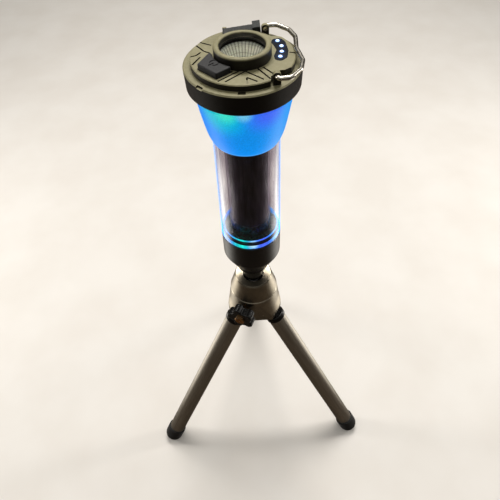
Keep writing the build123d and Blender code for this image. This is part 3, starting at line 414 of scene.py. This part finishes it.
def dark_disc_board():
    """Circuit board under dark green solder mask: faint tracks, glossy."""
    finish, tree, place = new_finish("dark green solder mask")
    flow = grain(tree, place, 3.0, detail=1.0)
    apart = put(tree, "ShaderNodeTexVoronoi", {"Vector": place, "Scale": 1 / (2.2 * MM)},
                distance="MANHATTAN", feature="DISTANCE_TO_EDGE").outputs["Distance"]
    ridge = put(tree, "ShaderNodeMapRange", {
        "Value": apart, "From Min": 0.02, "From Max": 0.06, "To Min": 1.0, "To Max": 0.0,
    }).outputs["Result"]
    colour = toned(tree, flow, "#08231f", "#0e3530")
    colour = toned(tree, apart, colour, "#1c6350", 0.06, 0.02, 0.7)
    return surfaced(finish, colour, {"IOR": SOLDER_MASK_IOR},
                    gloss=(flow, 0.22, 0.34), relief=(ridge, 0.04, 1.0))


def shrink_wrap():
    """PVC heat-shrink on the cell, dark violet-grey: glossy with faint upright creases."""
    finish, tree, place = new_finish("dark violet PVC heat-shrink")
    crease = grain(tree, place, 1.6, detail=3.0, stretch=(1.0, 1.0, 14.0))
    cloud = grain(tree, place, 8.0, stretch=(1.0, 1.0, 2.0))
    colour = toned(tree, crease, "#37333b", "#57525c", high=0.7)
    colour = toned(tree, cloud, colour, "#6b6673", 0.45, 0.75, 0.6)
    return surfaced(finish, colour, {"IOR": PVC_IOR, "Specular IOR Level": 0.25},
                    gloss=(crease, 0.5, 0.65), relief=(crease, 0.05, 0.7))


def metallised_cup():
    """Vacuum-metallised reflector: satin silver, mostly diffuse so that its near-white stands in for a
    bright reflection, with painted highlight and shade in bright and dark stripes round the flutes,
    and faint haze rings.
    """
    finish, tree, place = new_finish("vacuum-metallised aluminium reflector")
    rings = grain(tree, place, 0.5, stretch=(40.0, 40.0, 1.0))
    offset = put(tree, "ShaderNodeVectorMath", {0: place, 1: middle_of("torch_reflector")},
                 operation="SUBTRACT")
    parts = put(tree, "ShaderNodeSeparateXYZ", {0: offset.outputs[0]}).outputs
    # painted highlight and shade: stripes round the axis, one pair per flute
    turn = put(tree, "ShaderNodeMath", {0: parts["Y"], 1: parts["X"]}, operation="ARCTAN2")
    wave = put(tree, "ShaderNodeMath", {0: turn.outputs[0], 1: FLUTES}, operation="MULTIPLY")
    painted_flute_shading = put(tree, "ShaderNodeMath", {0: wave.outputs[0]}, operation="COSINE").outputs[0]
    silver = toned(tree, rings, "#eae8e0", "#f7f5ee", 0.3, 0.7)
    silver = toned(tree, painted_flute_shading, silver, "#7d7b72", -0.2, 0.9, 0.75)
    return surfaced(finish, silver, {"Metallic": 0.3}, gloss=(rings, 0.26, 0.34))


def torch_die():
    """White LED package: ceramic base, yellow phosphor under the clear dome."""
    finish, tree, place = new_finish("LED phosphor under silicone dome")
    x, y = middle_of("torch_led").xy
    heart = patch(tree, place, Vector((x, y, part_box("torch_led")[1].z)), 2.2 * MM)
    speck = grain(tree, place, 0.2)
    colour = toned(tree, speck, "#c9c6b4", "#e4e2d6", 0.3, 0.7)
    colour = toned(tree, heart, colour, "#d9c25a", 0.1, 0.5)
    bright = put(tree, "ShaderNodeMapRange", {
        "Value": heart, "From Min": 0.1, "From Max": 0.6, "To Min": 0.0, "To Max": 40.0,
    })
    return surfaced(finish, colour, {
        "IOR": SILICONE_IOR, "Coat Weight": 0.6, "Coat Roughness": 0.05,
        "Emission Color": "#fff4dc", "Emission Strength": bright.outputs["Result"],
    }, gloss=(speck, 0.2, 0.32))


def lit_led(name, glow, rim, strength, places):
    """Small lit LEDs: white-hot middle, coloured rim."""
    finish, tree, place = new_finish(name)
    hot = strongest_patch(tree, place, places, 0.8 * MM)
    light = put(tree, "ShaderNodeMix", {"Factor": hot, 6: rim, 7: glow}, data_type="RGBA")
    shimmer = grain(tree, place, 0.3, detail=1.0)
    bright = put(tree, "ShaderNodeMapRange", {
        "Value": shimmer, "From Min": 0.3, "From Max": 0.7,
        "To Min": strength * 0.85, "To Max": strength * 1.1,
    })
    return surfaced(finish, toned(tree, shimmer, "#9fb4d8", "#d2def2", 0.0, 1.0), {
        "Roughness": 0.25, "IOR": LED_RESIN_IOR,
        "Emission Color": light.outputs[2], "Emission Strength": bright.outputs["Result"],
    })


def smoked_window(places):
    """Smoked acrylic, dark navy and glossy, with a soft blue halo round each lit LED."""
    finish, tree, place = new_finish("smoked navy acrylic, polished")
    cloud = grain(tree, place, 4.0)
    halo = strongest_patch(tree, place, places, 1.9 * MM)
    light = put(tree, "ShaderNodeMix", {"Factor": halo, 6: "#000000", 7: "#1c3f86"},
                data_type="RGBA")
    return surfaced(finish, toned(tree, cloud, "#0a1019", "#16202f"), {
        "IOR": ACRYLIC_IOR, "Emission Color": light.outputs[2], "Emission Strength": 0.9,
    }, gloss=(cloud, 0.12, 0.2))


# ---------------------------------------------------------------------------
# Camera, light and table
# ---------------------------------------------------------------------------

def add_camera():
    """Looks down at the lantern's head from in front, a little nearer than arm's length."""
    data = bpy.data.cameras.new("camera")
    data.sensor_width, data.lens = 36.0, 34.32
    data.clip_start, data.clip_end = 0.01, 20.0
    camera = bpy.data.objects.new("camera", data)
    bpy.context.scene.collection.objects.link(camera)
    tilt, roll = radians(51.91), radians(-3.107)
    ahead = Vector((0, cos(tilt), -sin(tilt)))
    above = Vector((0, sin(tilt), cos(tilt)))
    level = Vector((1, 0, 0))
    right = level * cos(roll) + above * sin(roll)
    up = above * cos(roll) - level * sin(roll)
    turn = Matrix((right, up, -ahead)).transposed().to_4x4()
    place = Vector((-1.15 * MM, upright_y - 164.12 * MM, 393.0 * MM))
    camera.matrix_world = Matrix.Translation(place) @ turn
    bpy.context.scene.camera = camera
    bpy.context.scene.view_settings.view_transform = "Standard"


def add_softbox(name, place, target, size, watts, colour):
    """Rectangular soft light aimed at a point."""
    data = bpy.data.lights.new(name, "AREA")
    data.shape = "RECTANGLE"
    data.size, data.size_y = size
    data.energy = watts
    data.color = linear(colour)[:3]
    light = bpy.data.objects.new(name, data)
    light.location = place
    light.rotation_euler = (Vector(target) - Vector(place)).to_track_quat("-Z", "Y").to_euler()
    bpy.context.scene.collection.objects.link(light)


def pale_laminate():
    """Pale matt laminate. What it throws back at the lantern stays low, so that undersides read
    dark, apart from a bright card at each side, which the metal picks up as upright highlights."""
    finish, tree, place = new_finish("pale matt laminate")
    tone = grain(tree, place, 60.0, detail=3.0)
    pale = put(tree, "ShaderNodeBsdfPrincipled", {
        "Base Color": toned(tree, tone, "#dcd8d2", "#e1ded9"),
        "Roughness": 0.6, "IOR": LAMINATE_IOR,
    })
    dull = put(tree, "ShaderNodeBsdfDiffuse", {"Color": "#544b42"})
    card = put(tree, "ShaderNodeEmission", {"Color": "#fffaf0", "Strength": 3.2})
    cards = strongest_patch(tree, place, ((-0.2, 0.05, 0.0), (0.2, 0.05, 0.0)), 0.15)
    bounce = put(tree, "ShaderNodeMixShader", {0: cards, 1: dull.outputs[0], 2: card.outputs[0]})
    seen = put(tree, "ShaderNodeLightPath").outputs["Is Camera Ray"]
    shader = put(tree, "ShaderNodeMixShader", {0: seen, 1: bounce.outputs[0], 2: pale.outputs[0]})
    put(tree, "ShaderNodeOutputMaterial", {"Surface": shader.outputs[0]})
    return finish


def add_studio():
    """Pale table, dim room and soft boxes: one overhead and behind, two narrow ones at the sides."""
    world = bpy.data.worlds.new("dim room")
    bpy.context.scene.world = world
    world.use_nodes = True
    room = world.node_tree
    background = room.nodes["Background"]
    direction = put(room, "ShaderNodeTexCoord").outputs["Generated"]
    height = put(room, "ShaderNodeSeparateXYZ", {0: direction}).outputs["Z"]
    sky = toned(room, height, "#38352f", "#f3f0ea", 0.25, 0.95)
    room.links.new(sky, background.inputs["Color"])
    background.inputs["Strength"].default_value = 0.75

    head, tube = (upright_x, upright_y, 0.25), (0.0, upright_y, 0.15)
    for softbox in (
        ("overhead box", (0.05, 0.4, 1.0), head, (0.45, 0.3), 7.0, "#fffaf4"),
        ("left strip", (-0.6, 0.12, 0.3), tube, (0.1, 0.4), 1.6, "#fffbf6"),
        ("right strip", (0.6, 0.14, 0.3), tube, (0.1, 0.4), 1.6, "#fffbf6"),
    ):
        add_softbox(*softbox)

    surface = bpy.data.meshes.new("table")
    shape = bmesh.new()
    bmesh.ops.create_grid(shape, x_segments=2, y_segments=2, size=2.5)
    shape.to_mesh(surface)
    shape.free()
    table = bpy.data.objects.new("table", surface)
    bpy.context.scene.collection.objects.link(table)
    surface.materials.append(pale_laminate())


# ---------------------------------------------------------------------------
# Added pieces
# ---------------------------------------------------------------------------

def make_piece(name, shape, body, finish):
    """Turns a bmesh into a smooth piece that rides on a CAD body."""
    bmesh.ops.recalc_face_normals(shape, faces=shape.faces)
    mesh = bpy.data.meshes.new(name)
    shape.to_mesh(mesh)
    shape.free()
    mesh.materials.append(finish)
    mesh.polygons.foreach_set("use_smooth", [True] * len(mesh.polygons))
    piece = bpy.data.objects.new(name, mesh)
    bpy.context.scene.collection.objects.link(piece)
    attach(piece, body)
    return piece


def lathe(profile, steps, centre, radius_at=None):
    """Closed ring of (radius, height) points turned about an upright line through centre. radius_at
    may change a point's radius by its number and azimuth."""
    shape = bmesh.new()
    rings = []
    for step in range(steps):
        turn = tau * step / steps
        ring = []
        for number, (radius, height) in enumerate(profile):
            r = radius_at(number, radius, turn) if radius_at else radius
            ring.append(shape.verts.new((centre.x + r * cos(turn), centre.y + r * sin(turn), height)))
        rings.append(ring)
    for a, b in zip(rings, rings[1:] + rings[:1]):
        for i in range(len(profile)):
            j = (i + 1) % len(profile)
            shape.faces.new((a[i], a[j], b[j], b[i]))
    return shape


def add_reflector():
    """Deep reflector cup pressed with fine upright flutes."""
    low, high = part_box("torch_reflector")
    mouth, throat = 8.15 * MM, 2.75 * MM
    wall, flute_depth = 0.6 * MM, 0.3 * MM
    levels = 14
    bowl = 0.62      # power of the height that gives the radius: a deep cup
    inner = []
    for i in range(levels + 1):
        up = i / levels
        inner.append((throat + (mouth - throat) * up ** bowl, low.z + (high.z - low.z) * up))
    outer = [(r + wall, z) for r, z in reversed(inner)]

    def fluted(number, radius, turn):
        """Inner points wave in and out; the rim and the outside stay round."""
        if 0 < number < levels:
            return radius - flute_depth * abs(cos(turn * FLUTES / 2)) * min(1.0, radius / mouth + 0.2)
        return radius

    shape = lathe(inner + outer, FLUTES * STEPS_PER_FLUTE, middle_of("torch_reflector"), fluted)
    cup = make_piece("torch_reflector_fluted", shape, "lantern", metallised)
    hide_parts("torch_reflector")


def add_glow_rings():
    """The tube's lower edge glows as two thin rings, outside and inside its wall."""
    centre = middle_of("clear_tube")
    for name, radius, height, half_w, half_h in (
        ("tube_edge_glow_outer", 14.75 * MM, cup_high.z - 1.6 * MM, 0.4 * MM, 1.1 * MM),
        ("tube_edge_glow_inner", 13.8 * MM, cup_high.z + 1.9 * MM, 0.3 * MM, 0.45 * MM),
    ):
        profile = []
        for i in range(GLOW_SIDES):
            turn = tau * i / GLOW_SIDES
            profile.append((radius + half_w * cos(turn), height + half_h * sin(turn)))
        make_piece(name, lathe(profile, GLOW_STEPS, centre), "lantern", edge_glow)


# ---------------------------------------------------------------------------
# The lantern and tripod, dressed
# ---------------------------------------------------------------------------

olive = olive_abs()
nylon_black = black_nylon()
cup_black = dark_cup_abs()
button_rubber = matt_moulded("black silicone rubber, satin", "#0d0e11", "#16171b", 0.5, 0.04)
flap_rubber = matt_moulded("black silicone rubber, coarse textured", "#0c0e0e", "#2a2f2e", 0.9, 0.25)
foot_rubber = matt_moulded("black silicone rubber, matt", "#0c0c0c", "#141313", 0.6, 0.05)
champagne = champagne_aluminium()
brass = plated_metal("turned brass, lacquered", "#a86f2c", "#d39a4a", 0.22, 0.34)
zinc = plated_metal("zinc-plated steel", "#8e8f8c", "#b5b6b2", 0.28, 0.4)
wire = plated_metal("stainless steel wire, polished", "#c3beb3", "#e2ddd1", 0.16, 0.28, ring_mm=0.7)
tube_clear = clear_acrylic("clear acrylic tube, polished", "#dad6dc", 14.5, 0.02, 3.0, "#2f95ff", 2.2)
sleeve_clear = clear_acrylic("clear polycarbonate sleeve", "#dedbe2", 10.2, 0.3, 2.0)
lens_clear = clear_acrylic("coated glass lens", "#f2f5f3", 0.0, 0.01, 5.0)
frosted = lit_frosted_polycarbonate()
edge_glow = rim_glow()
board = dark_disc_board()
cell_wrap = shrink_wrap()
metallised = metallised_cup()
white_die = torch_die()
blue_leds = lit_led("lantern LEDs, lit", "#dff4ff", "#1c9bff", 3.0, ())
charge_lit = lit_led("charge LEDs, lit white-blue", "#ffffff", "#9cc4ff", 2.2, charge_led_middles)
window_dark = smoked_window(charge_led_middles)
nylon_white = matt_moulded("natural nylon, moulded", "#c4bfae", "#d6d2c4", 0.6, 0.03)

node_finish = {
    "head_collar": olive, "head_deck": olive, "bezel_ring": olive,
    "clamp_knob": nylon_black, "mounting_pad": nylon_black, "ball_stud": nylon_black,
    "button_switch": nylon_black, "base_cup": cup_black,
    "power_button": button_rubber, "usb_cover": flap_rubber,
    "grip_washer": foot_rubber, "base_seal": foot_rubber, "lens_seal": foot_rubber,
    "hub_body": champagne, "clamp_collar": champagne,
    "knob_screw": brass, "thread_insert": brass, "positive_contact": brass,
    "mounting_screw": zinc, "base_magnet": zinc, "negative_spring": zinc, "board_screws": zinc,
    "usb_port": zinc, "hanging_hook": wire,
    "clear_tube": tube_clear, "cell_sleeve": sleeve_clear, "torch_lens": lens_clear,
    "frosted_cone": frosted, "floor_disc": board, "lantern_ring_board": board, "control_board": board,
    "battery_cell": cell_wrap, "torch_led": white_die, "lantern_leds": blue_leds,
    "charge_leds": charge_lit, "battery_window": window_dark, "ball_seat": nylon_white,
}
for side in ("left", "right", "rear"):
    foot, pin = middle_of(f"leg_foot_{side}"), middle_of(f"leg_pin_{side}")
    node_finish[f"leg_tube_{side}"] = drawn_tube(side, foot - pin)
    node_finish[f"leg_sleeve_{side}"] = nylon_black
    node_finish[f"leg_foot_{side}"] = foot_rubber
    node_finish[f"leg_pin_{side}"] = zinc
for node, finish in node_finish.items():
    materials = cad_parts[node].data.materials
    materials.clear()
    materials.append(finish)

add_camera()
add_studio()
add_reflector()
add_glow_rings()
